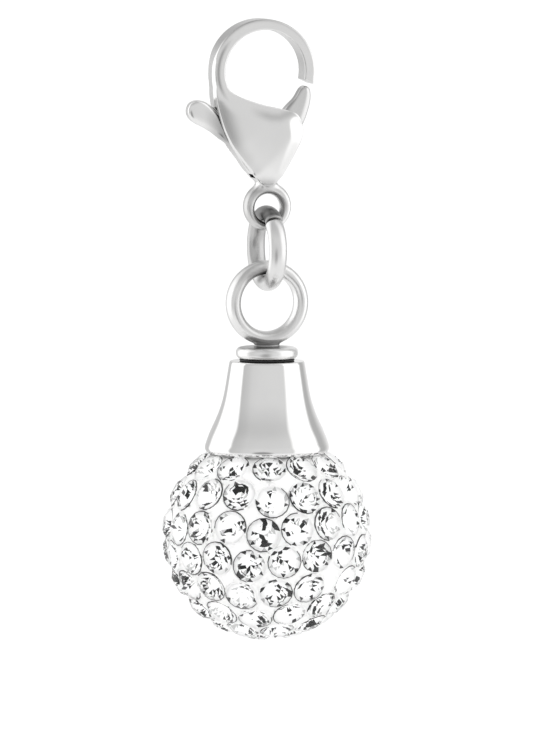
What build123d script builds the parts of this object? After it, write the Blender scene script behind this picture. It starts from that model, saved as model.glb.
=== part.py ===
import math
import os
from build123d import *

# Clasp: it stands in the XZ plane, with the top of its hook's opening at the origin
clasp_width = 6.2
clasp_length = 9.2
hook_wire = 0.63
hook_depth = 1.3
hook_edge = 0.22
rim_edge = 0.14
body_depth = 2.3
lever_thickness = 0.88
lever_edge = 0.12
lever_clearance = 0.05
pin_radius = 0.28
pin_clearance = 0.02
pin_cover = 0.25

# Eye at the foot of the clasp
eye_hole_radius = 0.84
eye_bar_width = 0.58
eye_bar_depth = 1.2

# Link and pendant ring, with a small gap where one hangs in the next
hang_gap = 0.03
link_wire = 0.88
link_diameter = 4.96
link_cut = 0.05
ring_wire = 0.88
ring_diameter = 4.84

# Stopper and its seal
neck_width = 1.5
neck_height = 0.2
flange_diameter = 3.6
flange_thickness = 0.66
flange_edge = 0.2
shank_diameter = 2.4
shank_length = 3.4
shank_clearance = 0.05
seal_thickness = 0.12
seal_diameter = 3.3
face_gap = 0.01

# Bell with its closed ash tube
bell_top_diameter = 4.34
bell_rim_diameter = 7.12
bell_height = 4.8
bell_lip = 0.5
bell_top_edge = 0.08
tube_wall = 0.4
tube_depth = 7.5
tube_floor = 0.6

# Clay ball and its stones
ball_diameter = 11.64
ball_gap = 0.03
stone_diameter = 1.9
stone_table = 0.56
stone_crown = 0.27
stone_girdle = 0.05
stone_depth = 0.74
stone_proud = 0.24
stone_space = 0.08
stone_clearance = 0.02
stone_row_angle = 18.11
stone_step = 2.042
stone_first_turn = 74.7
stone_start_drop = 0.878
stone_last_share = 0.25
stone_rounds = 400

os.makedirs("parts", exist_ok=True)


def clasp_point(across, down):
    """A point of the clasp's plane, from shares of the clasp's width and length."""
    return (across * clasp_width, -down * clasp_length)


def inset(points, distance):
    """The points of a closed outline, each moved inward by a distance."""
    count = len(points)
    before = [points[index - 1] for index in range(count)]
    after = [points[(index + 1) % count] for index in range(count)]
    area = sum(a[0] * b[1] - b[0] * a[1] for a, b in zip(points, after))
    inward = math.copysign(distance, area)
    moved = []
    for (x, z), last, following in zip(points, before, after):
        along_x, along_z = following[0] - last[0], following[1] - last[1]
        length = math.hypot(along_x, along_z)
        moved.append((x - inward * along_z / length, z + inward * along_x / length))
    return moved


def clasp_face(points):
    """A closed face, smooth all the way round, through points of the clasp's plane."""
    return make_face(Spline(*points, periodic=True))


def clasp_polygon(rows):
    """A straight-sided face through rows of (across, down)."""
    points = [clasp_point(across, down) for across, down in rows]
    return make_face(Polyline(*points, close=True))


def upright(sketch, depth):
    """A flat sketch stood up in the XZ plane, as thick as depth about that plane."""
    return extrude(Plane.XZ.offset(-depth / 2) * sketch, amount=depth)


def bevelled(rows, depth, bevel):
    """An upright plate through rows of (across, down), bevelled on its front and back."""
    outer = [clasp_point(across, down) for across, down in rows]
    inner = inset(outer, bevel)
    middle = depth / 2 - bevel
    sections = [(-depth / 2, inner), (-middle, outer), (middle, outer), (depth / 2, inner)]
    faces = [Plane.XZ.offset(level) * clasp_face(points) for level, points in sections]
    return loft(faces, ruled=True)


def across_bore(at, radius, front, back):
    """A round bar along Y, from front to back."""
    middle = (front + back) / 2
    return Pos(at[0], middle, at[1]) * Rot(90, 0, 0) * Cylinder(radius, back - front)


# Hook: an eccentric ring, a little off round, with its gate cut away
hook_centre = clasp_point(-0.048, 0.264)
hook_inner_across = clasp_width * 0.392
hook_inner_down = -hook_centre[1]
hook_shift = clasp_width * 0.011
gate_cut = [
    (-0.30, 0.46),
    (0.20, 0.300),
    (0.35, 0.322),
    (0.47, 0.362),
    (0.90, 0.45),
    (0.90, 1.00),
    (-0.30, 1.00),
]

# Body: the outline of its rim, and the swelling between its rims
rim_outline = [
    (-0.555, 0.300),
    (-0.548, 0.400),
    (-0.520, 0.510),
    (-0.463, 0.625),
    (-0.385, 0.730),
    (-0.285, 0.820),
    (-0.190, 0.895),
    (-0.120, 0.955),
    (-0.020, 0.990),
    (0.080, 0.955),
    (0.160, 0.870),
    (0.240, 0.775),
    (0.295, 0.700),
    (0.318, 0.632),
    (0.290, 0.568),
    (0.225, 0.522),
    (0.120, 0.500),
    (-0.020, 0.480),
    (-0.180, 0.449),
    (-0.310, 0.415),
    (-0.390, 0.372),
    (-0.430, 0.310),
    (-0.455, 0.250),
    (-0.505, 0.222),
    (-0.545, 0.245),
]
swell_outline = [
    (-0.500, 0.445),
    (-0.478, 0.535),
    (-0.422, 0.640),
    (-0.345, 0.740),
    (-0.250, 0.825),
    (-0.155, 0.900),
    (-0.055, 0.950),
    (0.045, 0.925),
    (0.125, 0.850),
    (0.200, 0.765),
    (0.258, 0.690),
    (0.280, 0.632),
    (0.255, 0.582),
    (0.185, 0.547),
    (0.050, 0.522),
    (-0.120, 0.495),
    (-0.280, 0.460),
    (-0.390, 0.420),
    (-0.455, 0.400),
    (-0.490, 0.415),
]
swell_centre = clasp_point(-0.075, 0.665)
swell_across = clasp_width * 0.60
swell_down = clasp_length * 0.42

# Slot: the lever's room in the body, from shut to open
slot_outline = [
    (-0.850, 0.425),
    (-0.560, 0.445),
    (-0.400, 0.502),
    (-0.240, 0.560),
    (-0.170, 0.540),
    (-0.150, 0.380),
    (0.500, 0.380),
    (0.500, 0.690),
    (0.305, 0.700),
    (0.200, 0.805),
    (0.090, 0.880),
    (-0.055, 0.910),
    (-0.200, 0.895),
    (-0.300, 0.870),
    (-0.450, 0.900),
    (-0.850, 0.900),
]

# Lever: thumb tab at the left, boss round the pin, gate arm at the right
lever_outline = [
    (-0.640, 0.441),
    (-0.580, 0.462),
    (-0.510, 0.505),
    (-0.420, 0.560),
    (-0.270, 0.625),
    (-0.100, 0.640),
    (0.060, 0.600),
    (0.195, 0.512),
    (0.293, 0.442),
    (0.342, 0.378),
    (0.380, 0.366),
    (0.410, 0.392),
    (0.408, 0.440),
    (0.390, 0.500),
    (0.352, 0.580),
    (0.295, 0.665),
    (0.190, 0.760),
    (0.065, 0.840),
    (-0.055, 0.866),
    (-0.180, 0.835),
    (-0.310, 0.772),
    (-0.455, 0.702),
    (-0.540, 0.653),
    (-0.620, 0.612),
    (-0.705, 0.583),
    (-0.765, 0.550),
    (-0.788, 0.505),
    (-0.765, 0.460),
    (-0.705, 0.438),
]
pivot = clasp_point(-0.055, 0.782)


def make_clasp_body():
    inner = Pos(*hook_centre) * Ellipse(hook_inner_across, hook_inner_down)
    outer = Pos(hook_centre[0] - hook_shift, hook_centre[1]) * Ellipse(
        hook_inner_across + hook_wire + hook_shift / 2, hook_inner_down + hook_wire
    )
    hook = upright(outer - inner, hook_depth)
    front_and_back = [edge for edge in hook.edges() if abs(edge.center().Y) > hook_depth / 4]
    hook = fillet(front_and_back, hook_edge)
    hook = hook - upright(clasp_polygon(gate_cut), body_depth)
    plate = bevelled(rim_outline, hook_depth, rim_edge)
    lens = scale(Sphere(1), by=(swell_across, body_depth / 2, swell_down))
    lens = Pos(swell_centre[0], 0, swell_centre[1]) * lens
    swell_points = [clasp_point(across, down) for across, down in swell_outline]
    swell = upright(clasp_face(swell_points), body_depth) & lens
    bar = Pos(eye_radius, 0) * Ellipse(eye_bar_width / 2, eye_bar_depth / 2)
    eye = Pos(0, 0, eye_z) * revolve(bar, Axis.Y)
    eye_hole = across_bore((0, eye_z), eye_hole_radius, -body_depth, body_depth)
    slot = upright(clasp_polygon(slot_outline), lever_thickness + 2 * lever_clearance)
    body = hook + plate + swell - eye_hole + eye - slot
    front = pin_cover - body_depth / 2
    return body - across_bore(pivot, pin_radius + pin_clearance, front, body_depth)


def make_clasp_pin():
    front = pin_cover + pin_clearance - body_depth / 2
    return across_bore(pivot, pin_radius, front, body_depth / 2 - pin_clearance)


def make_clasp_lever():
    lever = bevelled(lever_outline, lever_thickness, lever_edge)
    return lever - across_bore(pivot, pin_radius + pin_clearance, -body_depth, body_depth)


# Chain of heights from the eye down to the ball
eye_radius = eye_hole_radius + eye_bar_width / 2
eye_z = -clasp_length * 0.965 - eye_hole_radius - eye_bar_width
link_radius = (link_diameter - link_wire) / 2
link_z = eye_z - eye_hole_radius + hang_gap + link_wire / 2 - link_radius
ring_radius = (ring_diameter - ring_wire) / 2
ring_z = link_z - link_radius + link_wire / 2 + hang_gap + ring_wire / 2 - ring_radius
flange_top = ring_z - ring_diameter / 2 - neck_height
flange_bottom = flange_top - flange_thickness
bell_top = flange_bottom - seal_thickness - 2 * face_gap
bell_bottom = bell_top - bell_height - bell_lip
bell_lip_radius = bell_rim_diameter / 2 - bell_lip * 0.7
ball_radius = ball_diameter / 2
girdle_radius = ball_radius + stone_proud - stone_crown
ball_z = bell_bottom - ball_gap - math.sqrt(ball_radius**2 - bell_lip_radius**2)
chamber_radius = shank_diameter / 2 + shank_clearance
tube_radius = chamber_radius + tube_wall
tube_bottom = ball_z + ball_radius - tube_depth


def make_link():
    """A jump ring of round wire in the YZ plane, cut through at its top."""
    ring = Rot(0, 90, 0) * Torus(link_radius, link_wire / 2)
    cut = Pos(0, 0, link_radius) * Box(link_wire * 2, link_cut, link_wire * 2)
    return Pos(0, 0, link_z) * (ring - cut)


def make_stopper():
    """Ring, solder neck, flange and screw shank, as one soldered piece."""
    ring = Pos(0, 0, ring_z) * Rot(90, 0, 0) * Torus(ring_radius, ring_wire / 2)
    neck_top = flange_top + neck_height + ring_wire * 0.3
    flare = Polyline(
        (0, flange_top - flange_edge),
        (neck_width / 2 + neck_height, flange_top - flange_edge),
        (neck_width / 2 + neck_height, flange_top),
        (neck_width / 2, neck_top),
        (0, neck_top),
        close=True,
    )
    neck = revolve(Plane.XZ * make_face(flare), Axis.Z)
    flange = Pos(0, 0, (flange_top + flange_bottom) / 2) * Cylinder(
        flange_diameter / 2, flange_thickness
    )
    flange = fillet(flange.edges().filter_by(GeomType.CIRCLE), flange_edge)
    shank = Pos(0, 0, flange_bottom - shank_length / 2) * Cylinder(
        shank_diameter / 2, shank_length + face_gap
    )
    tip = shank.edges().filter_by(GeomType.CIRCLE).sort_by(Axis.Z)[0]
    shank = chamfer(tip, shank_diameter * 0.1)
    return ring + neck + flange + shank


def make_seal_ring():
    seal = Cylinder(seal_diameter / 2, seal_thickness) - Cylinder(
        shank_diameter / 2 + shank_clearance, seal_thickness * 2
    )
    return Pos(0, 0, flange_bottom - face_gap - seal_thickness / 2) * seal


# Bell: rows of (share of the height down, share of the flare out)
bell_flare = [
    (0.00, 0.000),
    (0.23, 0.130),
    (0.48, 0.300),
    (0.72, 0.600),
    (0.88, 0.850),
    (1.00, 1.000),
]


def make_bell_cap():
    """A turned bell, solid down to the ball, with the ash tube hanging from it."""
    top_radius = bell_top_diameter / 2
    flare = bell_rim_diameter / 2 - top_radius
    rows = [(top_radius + out * flare, bell_top - down * bell_height) for down, out in bell_flare]
    side = Spline(*rows)
    lip_end = (bell_lip_radius, bell_bottom)
    lip = Spline(rows[-1], lip_end, tangents=[side % 1, (-1, -0.5)])
    seat_low = (0, bell_bottom)
    outline = [
        Line((0, bell_top), rows[0]),
        side,
        lip,
        Line(lip_end, seat_low),
        Line(seat_low, (0, bell_top)),
    ]
    bell = revolve(Plane.XZ * make_face(outline), Axis.Z)
    bell = bell - Pos(0, 0, ball_z) * Sphere(ball_radius + ball_gap)
    top_edge = bell.edges().filter_by(GeomType.CIRCLE).sort_by(Axis.Z)[-1]
    bell = fillet(top_edge, bell_top_edge)
    tube_top = ball_z + ball_radius + tube_wall
    tube = Pos(0, 0, (tube_top + tube_bottom) / 2) * Cylinder(tube_radius, tube_top - tube_bottom)
    chamber_floor = tube_bottom + tube_floor
    chamber = Pos(0, 0, (bell_top + chamber_floor) / 2) * Cylinder(
        chamber_radius, bell_top - chamber_floor
    )
    return bell + tube - chamber


def direction(latitude, turn):
    """A unit direction, with turn counted from the front towards the right."""
    level = math.cos(math.radians(latitude))
    return (level * math.sin(turn), -level * math.cos(turn), math.sin(math.radians(latitude)))


def stone_directions():
    """A ring of stones under the bell, then a spiral, spread until none is too near."""
    rim_latitude = math.degrees(math.acos(bell_lip_radius / ball_radius))
    top = rim_latitude - math.degrees(stone_diameter / 2 / girdle_radius)
    ring_count = int(2 * math.pi * girdle_radius * math.cos(math.radians(top)) / stone_step)
    first_turn = math.radians(stone_first_turn)
    stones = [
        direction(top, first_turn + 2 * math.pi * index / ring_count) for index in range(ring_count)
    ]
    latitude = top - stone_row_angle * stone_start_drop
    turn = first_turn
    while latitude > stone_row_angle * stone_last_share - 90:
        stones.append(direction(latitude, turn))
        level = girdle_radius * math.cos(math.radians(latitude))
        step = stone_step / max(level, stone_step / 2)
        turn -= step
        latitude -= stone_row_angle * step / (2 * math.pi)
    nearest = (stone_diameter + stone_space) / girdle_radius
    for _ in range(stone_rounds):
        stones, moved = spread(stones, nearest, math.sin(math.radians(top)))
        if not moved:
            break
    return [Vector(*stone) for stone in stones]


def spread(stones, nearest, highest):
    """Pushes apart each pair of stones that is nearer than nearest, under the bell's rim."""
    pushes = [[0.0, 0.0, 0.0] for _ in stones]
    moved = False
    for first, one in enumerate(stones):
        for second in range(first):
            other = stones[second]
            if abs(one[2] - other[2]) > nearest:
                continue
            gap = math.dist(one, other)
            if gap < nearest * 0.9999:
                moved = True
                share = (nearest - gap) / gap * 0.55
                for axis in range(3):
                    push = (one[axis] - other[axis]) * share
                    pushes[first][axis] += push
                    pushes[second][axis] -= push
    placed = []
    for stone, push in zip(stones, pushes):
        x, y, z = (value + change for value, change in zip(stone, push))
        length = math.sqrt(x * x + y * y + z * z)
        z = min(z / length, highest)
        level = math.sqrt(1 - z * z) / math.hypot(x, y)
        placed.append((x * level, y * level, z))
    return placed, moved


def stone_place(stone):
    """The stone's girdle plane, with its Z outward from the ball."""
    return Plane(origin=stone * girdle_radius + Vector(0, 0, ball_z), z_dir=stone)


def ring_points(radius, height, sides, turn):
    points = []
    for index in range(sides):
        angle = math.radians(360 * (index + turn) / sides)
        points.append(Vector(radius * math.cos(angle), radius * math.sin(angle), height))
    return points


def make_stone():
    """A round cut stone: table, eight star and eight kite facets, girdle and pavilion."""
    radius = stone_diameter / 2
    table = ring_points(radius * stone_table, stone_crown, 8, 0)
    upper = ring_points(radius, 0, 16, 0)
    lower = ring_points(radius, -stone_girdle, 16, 0)
    culet = Vector(0, 0, -stone_depth)
    faces = [Face(Wire.make_polygon(table))]
    for k in range(8):
        here, after = table[k], table[(k + 1) % 8]
        corner, middle, last = upper[2 * k], upper[2 * k + 1], upper[2 * k - 1]
        faces.append(Face(Wire.make_polygon([here, after, middle])))
        faces.append(Face(Wire.make_polygon([here, middle, corner])))
        faces.append(Face(Wire.make_polygon([here, corner, last])))
    for k in range(16):
        after = (k + 1) % 16
        faces.append(Face(Wire.make_polygon([upper[k], upper[after], lower[after], lower[k]])))
        faces.append(Face(Wire.make_polygon([lower[k], lower[after], culet])))
    return Solid(Shell(faces))


def make_stones(places):
    stone = make_stone()
    return Compound([place.location * stone for place in places])


def make_ball_core(places):
    """The clay ball, with the tube's hole and a conical pocket for each stone."""
    ball = Pos(0, 0, ball_z) * Sphere(ball_radius)
    top = ball_z + ball_radius
    hole_bottom = tube_bottom - ball_gap
    hole = Pos(0, 0, (top + hole_bottom) / 2) * Cylinder(
        tube_radius + ball_gap, top - hole_bottom
    )
    wide = stone_diameter / 2 + stone_clearance
    slope = stone_depth / (stone_diameter / 2)
    deep = stone_depth + stone_clearance * slope
    pocket = Pos(0, 0, -stone_girdle - deep / 2) * Cone(0, wide, deep)
    mouth = Pos(0, 0, (stone_crown - stone_girdle) / 2) * Cylinder(wide, stone_crown + stone_girdle)
    cutter = pocket + mouth
    return ball - hole - [place.location * cutter for place in places]


def save(node, solid):
    export_step(solid, f"parts/{node}.step")


places = [stone_place(stone) for stone in stone_directions()]
save("clasp_body", make_clasp_body())
save("clasp_pin", make_clasp_pin())
save("clasp_lever", make_clasp_lever())
save("link", make_link())
save("stopper", make_stopper())
save("seal_ring", make_seal_ring())
save("bell_cap", make_bell_cap())
save("stones", make_stones(places))
save("ball_core", make_ball_core(places))
print(len(places), "stones; ball centre at", round(ball_z, 2))
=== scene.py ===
import math

import bmesh
import bpy
import numpy as np
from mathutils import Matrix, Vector


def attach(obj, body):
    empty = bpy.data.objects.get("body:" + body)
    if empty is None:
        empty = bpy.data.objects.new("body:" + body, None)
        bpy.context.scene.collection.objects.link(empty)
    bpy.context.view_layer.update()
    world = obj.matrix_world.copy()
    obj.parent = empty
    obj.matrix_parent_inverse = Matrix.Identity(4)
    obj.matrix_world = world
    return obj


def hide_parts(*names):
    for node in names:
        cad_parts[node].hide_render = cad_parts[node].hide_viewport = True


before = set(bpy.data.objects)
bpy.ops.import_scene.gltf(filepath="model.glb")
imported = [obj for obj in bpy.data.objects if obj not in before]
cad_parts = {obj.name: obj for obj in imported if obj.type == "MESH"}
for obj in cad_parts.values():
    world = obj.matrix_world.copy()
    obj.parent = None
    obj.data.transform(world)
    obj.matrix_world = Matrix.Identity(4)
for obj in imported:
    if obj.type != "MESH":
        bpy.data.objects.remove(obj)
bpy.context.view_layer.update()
mm = 0.001


def showObject(name, data):
    thing = bpy.data.objects.new(name, data)
    bpy.context.scene.collection.objects.link(thing)
    return thing


# sets a node's inputs, each to a value or to another node's output
def feed(tree, node, given):
    for title, value in given.items():
        if isinstance(value, bpy.types.NodeSocket):
            tree.links.new(value, node.inputs[title])
        else:
            node.inputs[title].default_value = value


def addNode(tree, kind, given=None, **values):
    node = tree.nodes.new(kind)
    for name, value in values.items():
        setattr(node, name, value)
    feed(tree, node, given or {})
    return node


def mathNode(tree, operation, *given):
    return addNode(tree, "ShaderNodeMath", dict(enumerate(given)), operation=operation).outputs[0]


def times(tree, one, other):
    return mathNode(tree, "MULTIPLY", one, other)


def mapRange(tree, value, low, high, toLow, toHigh, smooth=False):
    given = dict(enumerate((value, low, high, toLow, toHigh)))
    kind = "SMOOTHSTEP" if smooth else "LINEAR"
    return addNode(tree, "ShaderNodeMapRange", given, interpolation_type=kind).outputs[0]


def mixNode(tree, share, one, other):
    return addNode(tree, "ShaderNodeMix", {0: share, 2: one, 3: other}, data_type="FLOAT").outputs[0]


def newMaterial(name):
    material = bpy.data.materials.new(name)
    material.use_nodes = True
    tree = material.node_tree
    return material, tree, tree.nodes["Principled BSDF"]


# Camera, studio and floor

photoView = {
    "turn": -18.5,  # degrees round the pendant, from straight in front towards its left
    "rise": 5.0,  # degrees above the horizon
    "aim": (0.428, 0.0, -20.09),  # mm
    "distance": 900.0,  # mm
    "height": 43.48,  # mm of the picture's height at the pendant
    "sensor": 36,  # mm
}


def directionAt(turn, rise):
    turn, rise = math.radians(turn), math.radians(rise)
    return Vector((math.sin(turn) * math.cos(rise), -math.cos(turn) * math.cos(rise), math.sin(rise)))


def makeCamera(settings):
    back = directionAt(settings["turn"], settings["rise"])
    data = bpy.data.cameras.new("photoCamera")
    data.sensor_width = settings["sensor"]
    data.lens = settings["sensor"] * settings["distance"] / settings["height"]
    data.clip_start, data.clip_end = 0.01, 100
    camera = showObject("photoCamera", data)
    camera.location = Vector(settings["aim"]) * mm + back * settings["distance"] * mm
    camera.rotation_mode = "QUATERNION"
    camera.rotation_quaternion = (-back).to_track_quat("-Z", "Y")
    bpy.context.scene.camera = camera


studio = {
    "white": 1.12,  # what the floor and the clay are lit by
    # how bright the studio looks in the polish, by angle round from the camera: left is negative
    "round": [
        (-180, 0.8), (-165, 0.66), (-142, 0.62), (-133, 1.3), (-79, 1.3), (-73, 0.58), (-56, 0.64),
        (-43, 0.71), (-18, 0.74), (50, 0.76), (57, 1.3), (111, 1.3), (120, 0.5), (134, 0.5), (160, 0.84),
        (180, 0.9),
    ],
    "overhead": 0.72,  # the share of that left straight above
    "overheadFrom": (0.35, 0.95),  # sines of the heights between which it sets in
    "below": 0.97,  # the pale floor
    "belowFrom": (-0.55, -0.18),
    "cameraShade": 0.34,  # the darker place round the camera
    "cameraShadeAt": (-8.0, -17.0),  # its turn and rise from straight towards the camera
    "cameraShadeReach": (8.0, 24.0),  # degrees to where it starts to fade, and to its end
    "throughGlass": 2.2,  # light that comes through the stones
}


def makeStudio(settings, view):
    world = bpy.data.worlds.new("paleStudio")
    bpy.context.scene.world = world
    world.use_nodes = True
    tree = world.node_tree
    tree.nodes.clear()
    given = {
        "Vector": addNode(tree, "ShaderNodeTexCoord").outputs["Generated"],
        "Angle": -math.radians(view["turn"]),
    }
    turned = addNode(tree, "ShaderNodeVectorRotate", given, rotation_type="Z_AXIS").outputs[0]
    axes = addNode(tree, "ShaderNodeSeparateXYZ", {0: turned}).outputs
    turn = mathNode(tree, "ARCTAN2", axes["X"], times(tree, axes["Y"], -1.0))
    ramp = addNode(tree, "ShaderNodeValToRGB", {0: mapRange(tree, turn, -math.pi, math.pi, 0.0, 1.0)})
    stops = ramp.color_ramp.elements
    for _ in settings["round"][2:]:
        stops.new(0.5)
    for stop, (angle, level) in zip(stops, settings["round"]):
        stop.position = (angle + 180) / 360
        stop.color = (level, level, level, 1)
    above = mapRange(tree, axes["Z"], *settings["overheadFrom"], 1.0, settings["overhead"], True)
    level = times(tree, ramp.outputs[0], above)
    low = mapRange(tree, axes["Z"], *settings["belowFrom"], 1.0, 0.0, True)
    level = mixNode(tree, low, level, settings["below"])
    given = {0: turned, 1: directionAt(*settings["cameraShadeAt"])}
    near = addNode(tree, "ShaderNodeVectorMath", given, operation="DOT_PRODUCT").outputs["Value"]
    inner, outer = (math.cos(math.radians(angle)) for angle in settings["cameraShadeReach"])
    shade = mapRange(tree, near, outer, inner, 0.0, 1.0, True)
    level = mixNode(tree, shade, level, settings["cameraShade"])
    polish = addNode(tree, "ShaderNodeBackground", {"Color": level})
    rays = addNode(tree, "ShaderNodeLightPath").outputs
    white = mapRange(tree, rays["Is Transmission Ray"], 0, 1, settings["white"], settings["throughGlass"])
    plain = addNode(tree, "ShaderNodeBackground", {"Color": (1, 1, 1, 1), "Strength": white})
    mirrored = mathNode(tree, "SUBTRACT", rays["Is Glossy Ray"], rays["Is Transmission Ray"])
    choice = addNode(tree, "ShaderNodeMixShader", {0: mirrored, 1: plain.outputs[0], 2: polish.outputs[0]})
    addNode(tree, "ShaderNodeOutputWorld", {"Surface": choice.outputs[0]})
    bpy.context.scene.view_settings.view_transform = "Standard"


floorPlan = {"level": -58.0, "width": 5000.0, "colour": (0.97, 0.97, 0.97, 1), "roughness": 0.9}  # mm


def makeFloor(settings):
    half, level = settings["width"] * mm / 2, settings["level"] * mm
    mesh = bpy.data.meshes.new("paleFloor")
    corners = [(-half, -half, level), (half, -half, level), (half, half, level), (-half, half, level)]
    mesh.from_pydata(corners, [], [(0, 1, 2, 3)])
    floor = showObject("paleFloor", mesh)
    material, tree, shader = newMaterial("palePaper")
    given = {"Base Color": settings["colour"], "Roughness": settings["roughness"], "Specular IOR Level": 0.0}
    feed(tree, shader, given)
    side = addNode(tree, "ShaderNodeNewGeometry").outputs["Backfacing"]
    clear = addNode(tree, "ShaderNodeBsdfTransparent").outputs[0]
    choice = addNode(tree, "ShaderNodeMixShader", {0: side, 1: shader.outputs[0], 2: clear})
    feed(tree, tree.nodes["Material Output"], {"Surface": choice.outputs[0]})
    mesh.materials.append(material)
    floor.visible_glossy = False
    floor.visible_transmission = False


makeCamera(photoView)
makeStudio(studio, photoView)
makeFloor(floorPlan)
print("camera, studio and floor are up")


# Ways of making a mesh

def newPiece(name, points, faces, materials, smooth=True):
    mesh = bpy.data.meshes.new(name)
    mesh.from_pydata((np.asarray(points) * mm).tolist(), [], faces)
    mesh.validate()
    mesh.polygons.foreach_set("use_smooth", [smooth] * len(mesh.polygons))
    for material in materials:
        mesh.materials.append(material)
    mesh.update()
    return showObject(name, mesh)


# a smooth closed line through points, with some steps between each two
def smoothLoop(points, steps=10):
    points = np.asarray(points, float)
    before, after, second = (np.roll(points, shift, axis=0) for shift in (1, -1, -2))
    share = np.linspace(0, 1, steps, endpoint=False)[None, :, None]
    square, cube = share**2, share**3
    line = (
        (2 * cube - 3 * square + 1) * points[:, None]
        + (cube - 2 * square + share) * (after - before)[:, None] / 2
        + (3 * square - 2 * cube) * after[:, None]
        + (cube - square) * (second - points)[:, None] / 2
    )
    return line.reshape(-1, 2)


# how far each place is from a line
def fromLine(line, x, z):
    nearest = np.full(x.shape, 1e9)
    for (x0, z0), (x1, z1) in zip(line, line[1:]):
        dx, dz = x1 - x0, z1 - z0
        along = np.clip(((x - x0) * dx + (z - z0) * dz) / (dx * dx + dz * dz), 0, 1)
        nearest = np.minimum(nearest, (x - x0 - along * dx) ** 2 + (z - z0 - along * dz) ** 2)
    return np.sqrt(nearest)


# how deep inside a closed line each place is: negative outside
def insideDepth(loop, x, z):
    loop = np.vstack([loop, loop[:1]])
    inside = np.zeros(x.shape, bool)
    for (x0, z0), (x1, z1) in zip(loop, loop[1:]):
        if z0 != z1:
            inside ^= ((z0 > z) != (z1 > z)) & (x < x0 + (z - z0) * (x1 - x0) / (z1 - z0))
    return np.where(inside, 1, -1) * fromLine(loop, x, z)


# a soft band about a line
def band(line, x, z, width):
    return fade(fromLine(line, x, z), width)


# one at no distance, and fading to both sides
def fade(distance, width, power=2):
    return np.exp(-((distance / width) ** power))


def smoothStep(value, low, high):
    share = np.clip((value - low) / (high - low), 0, 1)
    return share * share * (3 - 2 * share)


# a quarter circle's height over its foot: 0 at the edge, 1 from the given width on
def quarter(depth, width):
    return np.sqrt(1 - (1 - np.clip(depth / width, 0, 1)) ** 2)


# two forms joined by a fillet, and one cut out of another: a form is negative inside
def softJoin(one, other, fillet):
    share = np.clip(0.5 + 0.5 * (other - one) / fillet, 0, 1)
    return other + (one - other) * share - fillet * share * (1 - share)


def softCut(form, tool, fillet):
    return -softJoin(-form, tool, fillet)


# values worked out once on a fine flat grid and read between its places
class Chart:
    def __init__(self, low, high, step=0.025):
        self.low, self.step = low, step
        self.counts = [int((b - a) / step) + 2 for a, b in zip(low, high)]
        axes = [a + step * np.arange(n) for a, n in zip(low, self.counts)]
        self.x, self.z = np.meshgrid(*axes, indexing="ij")

    def reader(self, values):
        def read(*place):
            spots = [np.clip((at - low) / self.step, 0, count - 1.001)
                     for at, low, count in zip(place, self.low, self.counts)]
            i, j = (spot.astype(int) for spot in spots)
            u, v = spots[0] - i, spots[1] - j
            near = values[i, j] * (1 - u) + values[i + 1, j] * u
            far = values[i, j + 1] * (1 - u) + values[i + 1, j + 1] * u
            return near * (1 - v) + far * v

        return read

    def depth(self, loop):
        return insideDepth(loop, self.x, self.z)

    def blurred(self, values, spread):
        reach = int(3 * spread / self.step)
        weights = np.exp(-0.5 * (np.arange(-reach, reach + 1) * self.step / spread) ** 2)
        weights /= weights.sum()
        for axis in (0, 1):
            pad = [(reach, reach) if axis == side else (0, 0) for side in (0, 1)]
            wide, length = np.pad(values, pad, mode="edge"), values.shape[axis]
            values = sum(w * np.take(wide, range(k, k + length), axis) for k, w in enumerate(weights))
        return values


# the skin of a form as a mesh of small quads that lie on it
def castSkin(name, form, paintedShade, part, materials):
    low, cell = np.array(part["low"]), part["cell"]
    counts = [int(math.ceil((b - a) / cell)) + 1 for a, b in zip(low, part["high"])]
    axes = [a + cell * np.arange(n) for a, n in zip(low, counts)]
    values = form(*np.meshgrid(*axes, indexing="ij"))
    solid = values < 0
    size = [n - 1 for n in counts]
    filled = np.zeros(size, np.int8)
    corners = [(a, b, c) for a in (0, 1) for b in (0, 1) for c in (0, 1)]
    for a, b, c in corners:
        filled += solid[a:size[0] + a, b:size[1] + b, c:size[2] + c]
    mixed = (filled > 0) & (filled < 8)
    cells = np.argwhere(mixed)
    number = np.full(size, -1)
    number[mixed] = np.arange(len(cells))
    # a point in each cell that the skin passes through, from where the cell's edges cross it
    place, hits = np.zeros((len(cells), 3)), np.zeros(len(cells))
    for corner in corners:
        for axis in range(3):
            if corner[axis]:
                continue
            start = cells + corner
            end = start.copy()
            end[:, axis] += 1
            first, last = values[tuple(start.T)], values[tuple(end.T)]
            cross = (first < 0) != (last < 0)
            point = start[cross].astype(float)
            point[:, axis] += first[cross] / (first[cross] - last[cross])
            place[cross] += point
            hits[cross] += 1
    place = place / hits[:, None] * cell + low
    # each point is brought onto the form along its slope
    nudge = cell * 0.2
    for _ in range(3):
        changes = [form(*(place + side).T) - form(*(place - side).T) for side in nudge * np.eye(3)]
        slope = np.stack(changes, axis=1) / (2 * nudge)
        length = np.maximum((slope**2).sum(axis=1), 0.05)
        place -= np.clip(slope * (form(*place.T) / length)[:, None], -cell / 2, cell / 2)
    faces = []
    for axis in range(3):
        u, v = (axis + 1) % 3, (axis + 2) % 3
        first = np.take(solid, range(size[axis]), axis)
        last = np.take(solid, range(1, counts[axis]), axis)
        for change, step in ((first & ~last, 1), (last & ~first, -1)):
            edge = np.argwhere(change)
            flat = edge[:, (u, v)]
            edge = edge[((flat > 0) & (flat < (size[u], size[v]))).all(axis=1)]
            ring = []
            for du, dv in ((-1, -1), (0, -1), (0, 0), (-1, 0))[::step]:
                near = edge.copy()
                near[:, u] += du
                near[:, v] += dv
                ring.append(number[tuple(near.T)])
            faces += np.stack(ring, axis=1).tolist()
    piece = newPiece(name, place, faces, materials)
    markPaintedShade(piece, paintedShade)
    return piece


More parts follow.
